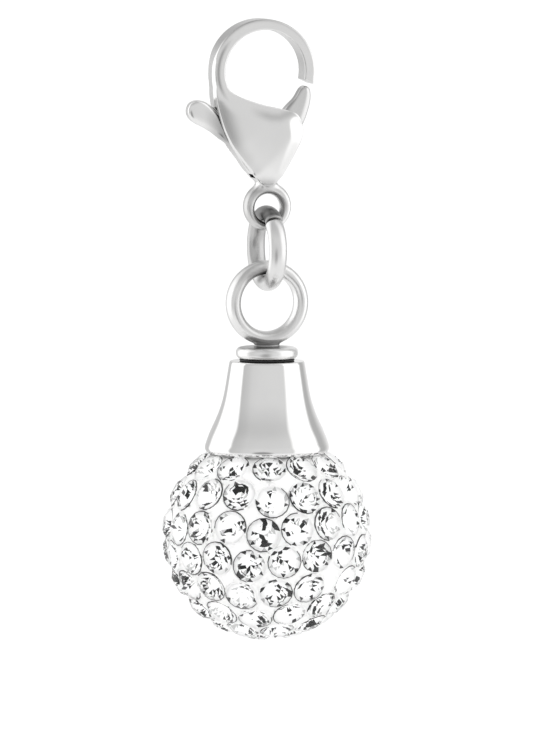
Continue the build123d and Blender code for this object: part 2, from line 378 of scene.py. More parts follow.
def cornersOf(mesh):
    points = np.empty(len(mesh.vertices) * 3)
    mesh.vertices.foreach_get("co", points)
    return points.reshape(-1, 3) / mm


# painted shade: the base colour is darker where shadow and dark reflections fall, in hollows, at contacts
# and on some sides
def markPaintedShade(piece, paintedShade):
    dark = np.clip(paintedShade(*cornersOf(piece.data).T), 0, 1)
    piece.data.attributes.new("paintedShade", "FLOAT", "POINT").data.foreach_set("value", dark)


# a closed outline of (radius, height) turned about the vertical axis through the origin
def turnedPiece(name, outline, segments, materials):
    points, rings, faces = [], [], []
    for radius, height in outline:
        count = segments if radius else 1
        rings.append([len(points) + index % count for index in range(segments)])
        for index in range(count):
            angle = 2 * math.pi * index / segments
            points.append((radius * math.cos(angle), radius * math.sin(angle), height))
    pairs = list(zip(rings, rings[1:]))
    if outline[0][0]:
        pairs.append((rings[-1], rings[0]))
    for upper, lower in pairs:
        for index in range(segments):
            after = (index + 1) % segments
            face = (upper[index], lower[index], lower[after], upper[after])
            faces.append(tuple(dict.fromkeys(face)))  # a triangle at the axis
    return newPiece(name, points, faces, materials)


# normals that keep the crisp edges of a turned or cut piece
def crispEdges(piece, angle):
    shaped = bmesh.new()
    shaped.from_mesh(piece.data)
    for edge in shaped.edges:
        edge.smooth = len(edge.link_faces) == 2 and edge.calc_face_angle(0) < math.radians(angle)
    shaped.to_mesh(piece.data)
    shaped.free()


# gives one of two finishes to each face, by a test of its height in mm
def splitFinish(piece, test):
    for face in piece.data.polygons:
        face.material_index = int(test(face.center.z / mm))


def wear(piece, node, body):
    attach(piece, body)
    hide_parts(node)
    print(piece.name + ":", len(piece.data.polygons), "faces")


# Finishes

# a noise in the piece's own space, or at a given place
def noise(tree, scale, detail=2, place=None):
    if place is None:
        place = addNode(tree, "ShaderNodeTexCoord").outputs["Object"]
    given = {"Vector": place, "Scale": scale, "Detail": detail}
    return addNode(tree, "ShaderNodeTexNoise", given).outputs[0]


# a fine noise in the piece's own space, spread between two values
def speckle(tree, scale, low, high):
    return mapRange(tree, noise(tree, scale, 3), 0.35, 0.65, low, high)


def tinted(tree, level, tint=(1, 1, 1)):
    shares = zip(("Red", "Green", "Blue"), tint)
    channels = {title: level if share == 1 else times(tree, level, share) for title, share in shares}
    return addNode(tree, "ShaderNodeCombineColor", channels).outputs[0]


def bumped(tree, height, strength, distance):
    given = {"Height": height, "Strength": strength, "Distance": distance * mm}
    return addNode(tree, "ShaderNodeBump", given).outputs[0]


# two colours, each at its place in a value's range
def ramped(tree, value, stops):
    ramp = addNode(tree, "ShaderNodeValToRGB", {0: value})
    for element, (position, colour) in zip(ramp.color_ramp.elements, stops):
        element.position, element.color = position, (*colour, 1)
    return ramp.outputs[0]


marks = {
    "usual": {"Roughness": 0.2, "Cloud": 0.05, "Scratches": 0.1, "Tone": 0.85, "PaintedShade": 0.0},
    "cloud": (900, 3),  # each noise's scale and detail
    "fine": (5200, 4),
    "hairs": [(0.4, 6000), (1.5, 8400), (2.5, 7200)],  # how each lies, and its scale
    "hairShape": (0.06, 1, 1),
    "hairRange": (0.66, 0.72),
    "hairRough": 0.25,
    "fineHeight": 0.3,
    "cloudTone": 0.05,
    "tint": (1, 0.997, 0.992),
}


# tumbled metal: a cloudy roughness, hair scratches and a slow ripple, with the painted shade in its colour
def makePolishMarksAndPaintedShade(part):
    group = bpy.data.node_groups.new("polishMarksAndPaintedShade", "ShaderNodeTree")
    group.interface.new_socket("Spot", in_out="INPUT", socket_type="NodeSocketVector")
    for title, value in part["usual"].items():
        socket = group.interface.new_socket(title, in_out="INPUT", socket_type="NodeSocketFloat")
        socket.default_value = value
    for title, kind in (("Roughness", "Float"), ("Height", "Float"), ("Colour", "Color")):
        group.interface.new_socket(title, in_out="OUTPUT", socket_type="NodeSocket" + kind)
    start, end = addNode(group, "NodeGroupInput").outputs, addNode(group, "NodeGroupOutput")
    cloud = noise(group, *part["cloud"], start["Spot"])
    fine = noise(group, *part["fine"], start["Spot"])
    hairs = None
    for tilt, scale in part["hairs"]:
        given = {"Vector": start["Spot"], "Scale": part["hairShape"]}
        given["Rotation"] = (tilt, tilt * 0.7, tilt * 1.3)
        lay = addNode(group, "ShaderNodeMapping", given).outputs[0]
        hair = mapRange(group, noise(group, scale, 1, lay), *part["hairRange"], 0.0, 1.0)
        hairs = mathNode(group, "MAXIMUM", hairs, hair) if hairs else hair
    cut = times(group, hairs, start["Scratches"])
    swing = times(group, mathNode(group, "SUBTRACT", cloud, 0.5), start["Cloud"])
    rough = mathNode(group, "ADD", start["Roughness"], swing)
    rough = mathNode(group, "ADD", rough, times(group, cut, part["hairRough"]))
    height = mathNode(group, "SUBTRACT", times(group, fine, part["fineHeight"]), cut)
    dull = mathNode(group, "SUBTRACT", 1.0, times(group, cloud, part["cloudTone"]))
    # painted shade: the colour is darkened by the painted shade attribute
    tone = times(group, times(group, start["Tone"], dull), mathNode(group, "SUBTRACT", 1.0, start["PaintedShade"]))
    feed(group, end, {"Roughness": rough, "Height": height, "Colour": tinted(group, tone, part["tint"])})
    return group


polishMarksAndPaintedShade = makePolishMarksAndPaintedShade(marks)
rippleDepth = 0.002  # mm


def steel(name, roughness, cloud, scratches, tone, bump):
    material, tree, shader = newMaterial(name)
    given = {
        "Spot": addNode(tree, "ShaderNodeTexCoord").outputs["Object"],
        # the painted shade, read from each piece's points
        "PaintedShade": addNode(tree, "ShaderNodeAttribute", attribute_name="paintedShade").outputs["Fac"],
        "Roughness": roughness, "Cloud": cloud, "Scratches": scratches, "Tone": tone,
    }
    made = addNode(tree, "ShaderNodeGroup", given, node_tree=polishMarksAndPaintedShade)
    rough, height, colour = made.outputs
    normal = bumped(tree, height, bump, rippleDepth)
    feed(tree, shader, {"Metallic": 1.0, "Roughness": rough, "Base Color": colour, "Normal": normal})
    return material


satinSteel = steel("satinSteel", roughness=0.17, cloud=0.04, scratches=0.03, tone=0.89, bump=0.04)
tumbledSteel = steel("tumbledSteel", roughness=0.3, cloud=0.05, scratches=0.03, tone=0.93, bump=0.04)
polishedSteel = steel("polishedSteel", roughness=0.06, cloud=0.03, scratches=0.08, tone=0.9, bump=0.12)

blackRubber, tree, shader = newMaterial("blackRubber")
colour = ramped(tree, noise(tree, 9000), [(0, (0.006, 0.006, 0.007)), (1, (0.02, 0.02, 0.021))])
feed(tree, shader, {"Base Color": colour, "Roughness": 0.55})

whiteClay, tree, shader = newMaterial("whiteClay")
grain = noise(tree, 3500, 5)
colour = ramped(tree, grain, [(0.3, (0.955, 0.955, 0.95)), (0.7, (0.97, 0.97, 0.967))])
feed(tree, shader, {"Base Color": colour, "Roughness": 0.5, "Normal": bumped(tree, grain, 0.4, 0.02)})

clearCrystal, tree, shader = newMaterial("clearCrystal")
facing = addNode(tree, "ShaderNodeLayerWeight").outputs["Facing"]
colour = tinted(tree, mapRange(tree, facing, 0.72, 0.97, 1.0, 0.12))  # painted shade: darker where seen edge on
rough = speckle(tree, 1800, 0.0, 0.012)
feed(tree, shader, {"Base Color": colour, "Roughness": rough, "IOR": 1.56, "Transmission Weight": 1.0})

silverFoil, tree, shader = newMaterial("silverFoil")
# painted reflection: the foil's colour is each facet's white, grey or black tone, standing in for what it
# reflects
tone = addNode(tree, "ShaderNodeAttribute", attribute_name="paintedFacetReflection").outputs["Color"]
rough = speckle(tree, 2600, 0.28, 0.42)
feed(tree, shader, {"Base Color": tone, "Roughness": rough, "Metallic": 0.0, "Specular IOR Level": 0.05})

# painted shadow: a near black sheet for the gap between each stone and the clay
paintedGapShadow, tree, shader = newMaterial("paintedGapShadow")
colour = tinted(tree, speckle(tree, 3200, 0.008, 0.018))
feed(tree, shader, {"Base Color": colour, "Roughness": speckle(tree, 2600, 0.28, 0.42)})
print("finishes are mixed")


# Clasp: places in mm, or in the tables as shares of its width to the right and of its length down

clasp = {
    "width": 6.2,
    "length": 9.2,
    "hookCentre": (-0.2976, -2.4288),
    "hookInner": (2.4304, 2.4288),
    "hookOuter": (3.094, 3.0575),
    "hookShift": -0.0682,
    "hookHalf": 0.65,
    # how round the hook's outside is, by degrees from its left over the top to its tip
    "hookRound": [(-60, 0.16), (15, 0.16), (45, 0.07), (200, 0.07)],
    "hookJoin": 0.08,
    "bodyFrom": (2.9, 4.1),  # mm down, where the hook widens into the body
    "bodyHalf": 0.64,  # half the thickness of the body at its sides
    "bevel": (0.12, 0.25),  # across and down, along the left side
    "bevelFrom": (1.1, 2.1),  # mm down, where it sets in
    "bevelTo": (7.8, 8.5),  # and where it fades
    "edgeRound": 0.06,
    "rise": 0.64,
    "leftSlope": 0.38,
    "rightRound": 1.15,  # how broadly the body rolls away at its right side
    "topShare": 0.7,  # of the rise at the top edge
    "leftSteps": (-8, 85),  # along the smoothed rim, ten to a row
    "rightSteps": (95, 145),
    "topSteps": (142, 215),
    "blur": 0.12,
    "groove": [(-1.52, -4.57), (-0.73, -4.85), (-0.05, -5.03), (0.43, -5.05), (0.92, -4.87), (1.17, -4.72)],
    "grooveDepth": (0.02, 0.2),  # and its width
    "foot": (0.22, 8.5, 9.1),  # how much the body thins, between these mm down
    "neckPaintedShade": [(-1.2, -9.15), (-0.85, -8.95), (-0.4, -8.88), (0.05, -8.92)],
    "slotHalf": 0.49,
    "slotFillet": 0.03,
    "eyeOuter": (-10.27, 1.42),  # the height of its middle, and its radius
    "eyeInner": (-10.37, 0.82),
    "eyeDepth": 0.5,
    "eyePower": 2.2,  # how square the eye's wire is
    "eyeWire": 0.27,
    "eyeJoin": 0.42,
    "pin": (-0.341, -7.194, 0.3),
    "pinEnd": -0.885,
    "low": (-4.0, -1.4, -12.1),
    "high": (3.3, 1.4, 0.9),
    "cell": 0.05,
    "tumbledBelow": -9.0,
    # how dark each painted shade is
    "shade": {"groove": 0.26, "limb": 0.5, "neck": 0.32, "outside": 0.35, "inside": 0.14,
              "eyeHole": 0.8, "eyeLeft": 0.24, "eyeTop": 0.2},
    "rim": [
        (-0.5535, 0.305), (-0.549, 0.36), (-0.5435, 0.425), (-0.519, 0.51), (-0.463, 0.625), (-0.385, 0.73),
        (-0.285, 0.82), (-0.19, 0.895), (-0.112, 0.948), (-0.012, 0.966), (0.085, 0.943), (0.16, 0.87),
        (0.24, 0.775), (0.295, 0.7), (0.318, 0.632), (0.29, 0.568), (0.225, 0.522), (0.12, 0.5),
        (-0.02, 0.48), (-0.18, 0.449), (-0.31, 0.415), (-0.385, 0.385), (-0.425, 0.355), (-0.452, 0.312),
        (-0.475, 0.268), (-0.505, 0.243), (-0.532, 0.248), (-0.549, 0.27),
    ],
    "gate": [
        (-0.3, 0.46), (0.2, 0.3), (0.35, 0.322), (0.47, 0.362), (0.9, 0.45), (0.9, 1.00), (-0.3, 1.00),
    ],
    "slot": [
        (-0.85, 0.415), (-0.6, 0.447), (-0.5, 0.492), (-0.41, 0.55), (-0.27, 0.608), (-0.17, 0.6),
        (-0.15, 0.38), (0.5, 0.38), (0.5, 0.69), (0.305, 0.7), (0.2, 0.805), (0.09, 0.89), (-0.02, 0.933),
        (-0.117, 0.938), (-0.16, 0.925), (-0.2, 0.905), (-0.26, 0.9), (-0.85, 0.9),
    ],
}


def claspPoints(rows):
    return np.array([(across * clasp["width"], -down * clasp["length"]) for across, down in rows])


# how much a round corner takes off a plate's thickness
def cornerLoss(depth, radius):
    return radius * (1 - quarter(depth, radius))


def makeClaspBody(part):
    chart = Chart((-4.2, -12.4), (3.6, 1.2))
    rimLine = smoothLoop(claspPoints(part["rim"]))
    loops = (rimLine, claspPoints(part["gate"]), claspPoints(part["slot"]))
    rim, gate, slot = (chart.reader(chart.depth(loop)) for loop in loops)
    sides = (rimLine[np.arange(*part[steps])] for steps in ("leftSteps", "rightSteps", "topSteps"))
    left, right, top = (fromLine(line, chart.x, chart.z) for line in sides)
    grooveDepth, grooveWidth = part["grooveDepth"]
    footLoss, footFrom, footTo = part["foot"]
    swell = part["rise"] * (1 - np.exp(-left * part["leftSlope"] / part["rise"]))
    swell *= quarter(right, part["rightRound"])
    swell *= part["topShare"] + (1 - part["topShare"]) * smoothStep(top, 0.0, 1.0)
    swell -= grooveDepth * band(part["groove"], chart.x, chart.z, grooveWidth)
    swell -= footLoss * smoothStep(-chart.z, footFrom, footTo)
    pillow = chart.reader(chart.blurred(swell, part["blur"]))
    fromLeft = chart.reader(left)
    centreX, centreZ = part["hookCentre"]
    (innerX, innerZ), (outerX, outerZ) = part["hookInner"], part["hookOuter"]
    (outerEye, outerRadius), (innerEye, innerRadius) = part["eyeOuter"], part["eyeInner"]
    bevelWidth, bevelDrop = part["bevel"]
    roundTurns, roundSizes = zip(*part["hookRound"])
    pinX, pinZ, pinRadius = part["pin"]
    power, shade = part["eyePower"], part["shade"]

    # how far out from the hook's opening a place is, and how far in from its outside
    def hookDepths(x, z):
        inner = np.hypot((x - centreX) / innerX, (z - centreZ) / innerZ)
        outer = np.hypot((x - centreX - part["hookShift"]) / outerX, (z - centreZ) / outerZ)
        return (inner - 1) * innerX, (1 - outer) * outerX

    def form(x, y, z):
        across = np.abs(y)
        fromInner, fromOuter = hookDepths(x, z)
        hook = np.minimum(np.minimum(fromInner, fromOuter), -gate(x, z))
        depth = -softJoin(-hook, -rim(x, z), part["hookJoin"])
        onBody = smoothStep(-z, *part["bodyFrom"])
        thick = part["hookHalf"] * (1 - onBody) + (part["bodyHalf"] + pillow(x, z)) * onBody
        # the outside edge: a crisp bevel down the left side, round over the top and at the tip
        leftSide = x < 0.3
        edge = fromOuter + (fromLeft(x, z) - fromOuter) * smoothStep(-z, 2.9, 3.5) * leftSide
        crisp = smoothStep(-z, *part["bevelFrom"]) * leftSide
        fading = 1 - smoothStep(-z, *part["bevelTo"])
        thick -= crisp * bevelDrop * fading * (1 - np.clip(edge / bevelWidth, 0, 1))
        turn = (np.degrees(np.arctan2(z - centreZ, centreX - x)) + 90) % 360 - 90
        thick -= (1 - crisp) * (1 - onBody) * cornerLoss(fromOuter, np.interp(turn, roundTurns, roundSizes))
        thick -= cornerLoss(depth, part["edgeRound"])
        whole = np.maximum(across - thick, -depth) * 0.8
        # the eye, a ring of squarish wire between two circles that aren't quite centred
        past, within = np.hypot(x, z - outerEye) - outerRadius, innerRadius - np.hypot(x, z - innerEye)
        share = np.abs((past - within) / (past + within))
        eye = ((share**power + (across / part["eyeDepth"]) ** power) ** (1 / power) - 1) * part["eyeWire"]
        whole = softCut(whole, np.maximum(-within - 0.05, across - 2), 0.04)
        whole = softJoin(whole, eye, part["eyeJoin"])
        whole = softCut(whole, np.maximum(across - part["slotHalf"], -slot(x, z)), part["slotFillet"])
        bore = np.maximum(np.hypot(x - pinX, z - pinZ) - pinRadius, part["pinEnd"] - y)
        return softCut(whole, bore, 0.02)

    # painted shade: the base colour is darkened in the groove, along the hook's left limb, at the neck,
    # along the hook's outside at the top and its inside at the right, inside the eye, and on the eye's left
    # and top
    def paintedShade(x, y, z):
        face = smoothStep(np.abs(y), 0.45, 0.6)
        fromInner, fromOuter = hookDepths(x, z)
        dark = shade["groove"] * band(part["groove"], x, z, 0.26) * smoothStep(x, -1.6, -0.2) * face
        limb = smoothStep(-x, 1.2, 2.3) * smoothStep(-z, 0.3, 1.4) * smoothStep(z, -4.2, -3.0)
        dark += shade["limb"] * fade(fromOuter - 0.29, 0.1) * limb * face
        dark += shade["neck"] * band(part["neckPaintedShade"], x, z, 0.3) * face
        dark += shade["outside"] * fade(fromOuter, 0.12) * smoothStep(z, -1.6, -0.4)
        dark += shade["inside"] * fade(fromInner, 0.07) * smoothStep(x, 0.8, 1.6)
        inEye = innerRadius - np.hypot(x, z - innerEye)
        dark += shade["eyeHole"] * smoothStep(inEye, -0.06, 0.01) * smoothStep(-z, 10.2, 10.7)
        onEye = shade["eyeLeft"] * smoothStep(-x, -0.6, 0.5) + shade["eyeTop"] * smoothStep(z, -10.0, -9.2)
        return dark + onEye * smoothStep(-z, 9.0, 9.4)

    piece = castSkin("claspBody", form, paintedShade, part, [satinSteel, tumbledSteel])
    splitFinish(piece, lambda height: height < part["tumbledBelow"])
    return piece


wear(makeClaspBody(clasp), "clasp_body", "clasp")

lever = {
    "flank": 0.2,
    "rounding": (0.2, 0.14),  # how far in the edge is rounded, and how high
    "crown": 0.1,
    "crownReach": 0.62,
    "half": 0.44,
    "crease": ((1.5, -4.1), (-0.82, 0.572)),  # a place on the crease of the gate arm, and across it
    "creaseLine": [(1.95, -3.45), (1.5, -4.1), (1.02, -4.78)],
    "armFrom": 0.9,  # mm to the right of the clasp's middle, where the gate arm begins
    "heel": 0.16,  # how much thicker it is inside the body
    "slope": 0.9,
    "thinnest": 0.1,
    "pin": (-0.341, -7.194, 0.3),
    "low": (-5.1, -0.6, -8.6),
    "high": (2.8, 0.6, -3.1),
    "cell": 0.05,
    "shade": {"tab": 0.45, "crease": 0.45, "arm": 0.16},
    "outline": [
        (-0.64, 0.441), (-0.58, 0.462), (-0.51, 0.505), (-0.42, 0.56), (-0.27, 0.625), (-0.1, 0.64),
        (0.06, 0.6), (0.165, 0.502), (0.262, 0.437), (0.32, 0.377), (0.37, 0.36), (0.41, 0.385),
        (0.416, 0.44), (0.398, 0.5), (0.356, 0.58), (0.29, 0.665), (0.19, 0.76), (0.065, 0.84),
        (-0.02, 0.885), (-0.08, 0.902), (-0.15, 0.912), (-0.196, 0.898), (-0.24, 0.862), (-0.29, 0.812),
        (-0.385, 0.722), (-0.47, 0.682), (-0.54, 0.645), (-0.62, 0.612), (-0.705, 0.583), (-0.765, 0.55),
        (-0.788, 0.505), (-0.765, 0.46), (-0.705, 0.438),
    ],
}


def makeLever(part):
    chart = Chart((-5.6, -8.8), (3.4, -2.6))
    depths = chart.depth(smoothLoop(claspPoints(part["outline"])))
    outline = chart.reader(depths)
    crown = chart.reader(chart.blurred(1 - (1 - np.clip(depths / part["crownReach"], 0, 1)) ** 2, 0.08))
    roundWidth, roundHeight = part["rounding"]
    pinX, pinZ, pinRadius = part["pin"]
    shade = part["shade"]

    def pastCrease(x, z):
        (creaseX, creaseZ), (acrossX, acrossZ) = part["crease"]
        return (x - creaseX) * acrossX + (z - creaseZ) * acrossZ

    def form(x, y, z):
        depth = outline(x, z)
        thick = part["flank"] + roundHeight * quarter(depth, roundWidth) + part["crown"] * crown(x, z)
        arm = np.clip((x - part["armFrom"]) / 0.3, 0, 1)
        slope = np.maximum(part["half"] - part["slope"] * np.maximum(pastCrease(x, z), 0), part["thinnest"])
        thick = np.where(x > part["armFrom"], np.minimum(thick, slope * arm + thick * (1 - arm)), thick)
        heel = part["heel"] * smoothStep(x, -3.3, -2.4) * smoothStep(-z, 5.6, 6.6)
        thick = np.minimum(thick + heel, part["half"])
        plate = np.maximum(np.abs(y) - thick, -depth) * 0.8
        return np.maximum(plate, pinRadius - np.hypot(x - pinX, z - pinZ))

    # painted shade: darker on the tab next to the body, along the gate arm's crease and on the arm's far
    # face
    def paintedShade(x, y, z):
        dark = shade["tab"] * smoothStep(x, -4.1, -2.7) * smoothStep(-x, 1.8, 2.7)
        dark += shade["crease"] * band(part["creaseLine"], x, z, 0.11)
        return dark + shade["arm"] * smoothStep(-pastCrease(x, z), 0.0, 0.1) * (x > part["armFrom"])

    return castSkin("claspLever", form, paintedShade, part, [satinSteel])


wear(makeLever(lever), "clasp_lever", "lever")
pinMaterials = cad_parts["clasp_pin"].data.materials
pinMaterials.clear()
pinMaterials.append(satinSteel)
print("the clasp is cast")


# Link

jumpLink = {
    "radius": 2.04,
    "wire": 0.44,
    "broader": 1.2,  # the wire is a little flattened
    "z": -12.708,
    "cutTurn": 40.0,  # degrees from the top towards the front
    "cut": 0.09,
    "sprung": 0.07,  # how far the two ends stand apart in height
    "sprungReach": 0.45,  # how far round that is felt
    "edge": 0.05,
    "edgeTurns": (0, 0.4, 0.8, 1.2, math.pi / 2),
    "around": 224,
    "across": 48,
    "crisp": 50,  # degrees
    "shade": {"back": 0.3, "top": 0.62, "cut": 0.3, "foot": 0.5, "all": 0.07},
}


def makeLink(part):
    start = part["cut"] / 2 / part["radius"]
    lay = [(start + part["edge"] * (1 - math.cos(t)) / part["radius"],
            part["wire"] - part["edge"] * (1 - math.sin(t))) for t in part["edgeTurns"]]
    whole = 2 * math.pi
    first, last = lay[-1][0], whole - lay[-1][0]
    rows, around = list(lay), part["around"]
    rows += [(first + (last - first) * step / around, part["wire"]) for step in range(1, around)]
    rows += [(whole - angle, radius) for angle, radius in reversed(lay)]
    points, faces, count = [], [], part["across"]
    turn = math.radians(part["cutTurn"])
    for row, (angle, radius) in enumerate(rows):
        after, before = (math.exp(-along / part["sprungReach"]) for along in (angle, whole - angle))
        for index in range(count):
            spin = whole * index / count
            far = part["radius"] + radius * math.cos(spin) + part["sprung"] * (before - after)
            points.append((part["broader"] * radius * math.sin(spin), -far * math.sin(angle + turn),
                           part["z"] + far * math.cos(angle + turn)))
            here, there, beside = row * count, (row + 1) * count, (index + 1) % count
            if row < len(rows) - 1:
                faces.append((here + index, there + index, there + beside, here + beside))
    faces.append(tuple(range(count)))
    faces.append(tuple(reversed(range((len(rows) - 1) * count, len(rows) * count))))
    piece = newPiece("jumpLink", points, faces, [tumbledSteel])
    crispEdges(piece, part["crisp"])
    shade = part["shade"]

    # painted shade: darker at the top where the link hangs in the eye, beside the cut, at the foot where it
    # rests on the ring, on its back half, and a little all over
    def paintedShade(x, y, z):
        angle = np.degrees(np.arctan2(-y, z - part["z"]))
        dark = shade["top"] * smoothStep(-np.abs(angle - 5), -38, -25)
        dark += shade["cut"] * fade(angle - part["cutTurn"] + 4, 5) * (angle < part["cutTurn"])
        inside = smoothStep(part["radius"] - np.hypot(y, z - part["z"]), -0.1, 0.2)
        dark += shade["foot"] * fade(np.abs(angle) - 180, 16) * inside
        return dark + shade["back"] * smoothStep(y, 0.5, 1.3) + shade["all"]

    markPaintedShade(piece, paintedShade)
    return piece


wear(makeLink(jumpLink), "link", "link")


# Stopper: ring, neck, flange and screw

stopper = {
    "ringRadius": 2.06,
    "ringWire": (0.41, 0.45, 0.66),  # half its thickness, and half its breadth at the top and lower down
    "broadFrom": (22, 65),  # degrees from the top
    "ringZ": -15.868,
    "neckRadius": 0.72,
    "neckHalf": 0.4,
    "neckFillet": 0.14,
    "flangeRadius": 1.8,
    "flangeTop": -18.438,
    "flangeBottom": -19.105,
    "flangeEdge": 0.29,
    "flangeFillet": 0.16,
    "shankRadius": 1.17,
    "shankEnd": -22.49,
    "taper": (0.3, 0.8),  # how high the shank's end is tapered, and how steeply
    "threadDepth": 0.14,
    "threadFrom": 0.35,  # below the flange
    "pitch": 0.5,
    "low": (-2.55, -1.95, -22.7),
    "high": (2.55, 1.95, -13.2),
    "cell": 0.05,
    "shade": {"ringTop": 0.7, "left": 0.5, "upperLeft": 0.24, "ringFoot": 0.22,
              "flangeTop": 0.6, "flangeSide": 0.2},
}


def makeStopper(part):
    edge, shade = part["flangeEdge"], part["shade"]
    ringZ, ringRadius, flangeTop = part["ringZ"], part["ringRadius"], part["flangeTop"]
    middle, half = (flangeTop + part["flangeBottom"]) / 2, (flangeTop - part["flangeBottom"]) / 2
    taperHeight, taperSlope = part["taper"]

    def form(x, y, z):
        wire, slim, broad = part["ringWire"]
        fromTop = np.degrees(np.arctan2(np.abs(x), z - ringZ))
        breadth = slim + (broad - slim) * smoothStep(fromTop, *part["broadFrom"])
        ring = (np.hypot((np.hypot(x, z - ringZ) - ringRadius) / wire, y / breadth) - 1) * wire
        wide = np.hypot(x / part["neckRadius"], y / part["neckHalf"]) - 1
        neck = np.maximum(wide * part["neckHalf"], np.maximum(z - ringZ + ringRadius, flangeTop - 0.2 - z))
        radius = np.hypot(x, y)
        out, up = radius - part["flangeRadius"] + edge, np.abs(z - middle) - half + edge
        flange = np.minimum(np.maximum(out, up), 0) + np.hypot(np.maximum(out, 0), np.maximum(up, 0)) - edge
        turn = np.arctan2(y, x) / (2 * math.pi)
        wave = np.abs(((z / part["pitch"] + turn) % 1) * 2 - 1)
        run = np.clip((part["flangeBottom"] - part["threadFrom"] - z) / 0.2, 0, 1)
        cut = part["threadDepth"] * np.clip(wave * 1.3 - 0.15, 0, 1) * run
        taper = np.maximum(part["shankEnd"] + taperHeight - z, 0) * taperSlope
        shank = np.maximum((radius - part["shankRadius"] + cut + taper) * 0.8,
                           np.maximum(part["shankEnd"] - z, z - middle))
        whole = softJoin(ring, neck, part["neckFillet"])
        return softJoin(softJoin(whole, flange, part["flangeFillet"]), shank, 0.02)

    # painted shade: darker inside the ring's top where the link rests, on its left and upper left, at its
    # foot over the flange, on the flange's top round the neck and on the flange's front left side
    def paintedShade(x, y, z):
        up = z - ringZ
        within = ringRadius - np.hypot(x, up)
        fromTop, turn = np.degrees(np.arctan2(np.abs(x), up)), np.degrees(np.arctan2(up, -x))
        dark = shade["ringTop"] * smoothStep(within, -0.1, 0.25) * fade(fromTop, 17)
        dark += shade["left"] * smoothStep(within, -0.15, 0.4) * fade(turn, 55, 4)
        dark += shade["upperLeft"] * fade(turn - 55, 25) + shade["ringFoot"] * fade(turn + 90, 40)
        dark *= smoothStep(z - flangeTop, 0.1, 0.3)
        face = smoothStep(z - flangeTop, -0.1, -0.01) * smoothStep(flangeTop - z, -0.35, -0.1)
        dark += shade["flangeTop"] * face * smoothStep(-np.hypot(x + 0.3, y), -1.75, -1.2)
        side = smoothStep(-np.hypot(x + 0.55, z - middle), -0.45, 0.0) * smoothStep(-y, 1.2, 1.5)
        return dark + shade["flangeSide"] * side

    piece = castSkin("stopperRing", form, paintedShade, part, [polishedSteel, tumbledSteel])
    splitFinish(piece, lambda height: height > part["flangeBottom"] + 0.02)
    return piece


wear(makeStopper(stopper), "stopper", "stopper")
print("link and stopper hang in place")


# Seal and bell

seal = {"inner": 1.25, "outer": 1.6, "top": -19.113, "bottom": -19.225, "steps": 8, "segments": 128}


def makeSeal(part):
    middle, half = (part["top"] + part["bottom"]) / 2, (part["top"] - part["bottom"]) / 2
    outline = [(part["inner"], part["bottom"]), (part["inner"], part["top"])]
    for step in range(part["steps"] + 1):
        angle = math.pi * (0.5 - step / part["steps"])
        outline.append((part["outer"] - half + half * math.cos(angle), middle + half * math.sin(angle)))
    return turnedPiece("rubberSeal", outline, part["segments"], [blackRubber])


wear(makeSeal(seal), "seal_ring", "seal")

bell = {
    "topRadius": 2.17,
    "rimRadius": 3.56,
    "top": -19.238,
    "height": 4.8,
    "lip": 0.57,
    "lipRadius": 3.34,
    "lipPull": 0.36,  # how far the flare runs on before it turns in
    "lipTurn": (0.2, 0.03),
    "topEdge": 0.08,
    "boreRadius": 1.25,
    "boreEdges": (0.08, 0.1),  # at its mouth and its floor
    "tubeRadius": 1.65,
    "tubeEdge": 0.15,
    "tubeBottom": -31.1,
    "tubeFloor": 0.6,
    "ballZ": -29.42,
    "seatRadius": 5.85,
    "segments": 320,
    "crisp": 28,  # degrees
    # how far down the side, and how far out, as shares
    "flare": [(0.00, 0.000), (0.23, 0.13), (0.48, 0.3), (0.72, 0.6), (0.88, 0.85), (1.00, 1.000)],
}


# a natural cubic line through values at rising places, read at other places
def cubicThrough(places, values, at):
    places, values = np.array(places), np.array(values)
    gaps, rises = np.diff(places), np.diff(values)
    system, target, row = np.eye(len(places)), np.zeros(len(places)), np.arange(1, len(gaps))
    system[row, row - 1], system[row, row + 1] = gaps[:-1], gaps[1:]
    system[row, row] = 2 * (gaps[:-1] + gaps[1:])
    target[row] = 3 * np.diff(rises / gaps)
    bend = np.linalg.solve(system, target)
    index = np.clip(np.searchsorted(places, at) - 1, 0, len(gaps) - 1)
    along, gap = at - places[index], gaps[index]
    slope = rises[index] / gap - gap * (2 * bend[index] + bend[index + 1]) / 3
    curve = (bend[index + 1] - bend[index]) / (3 * gap)
    return values[index] + along * (slope + along * (bend[index] + along * curve))


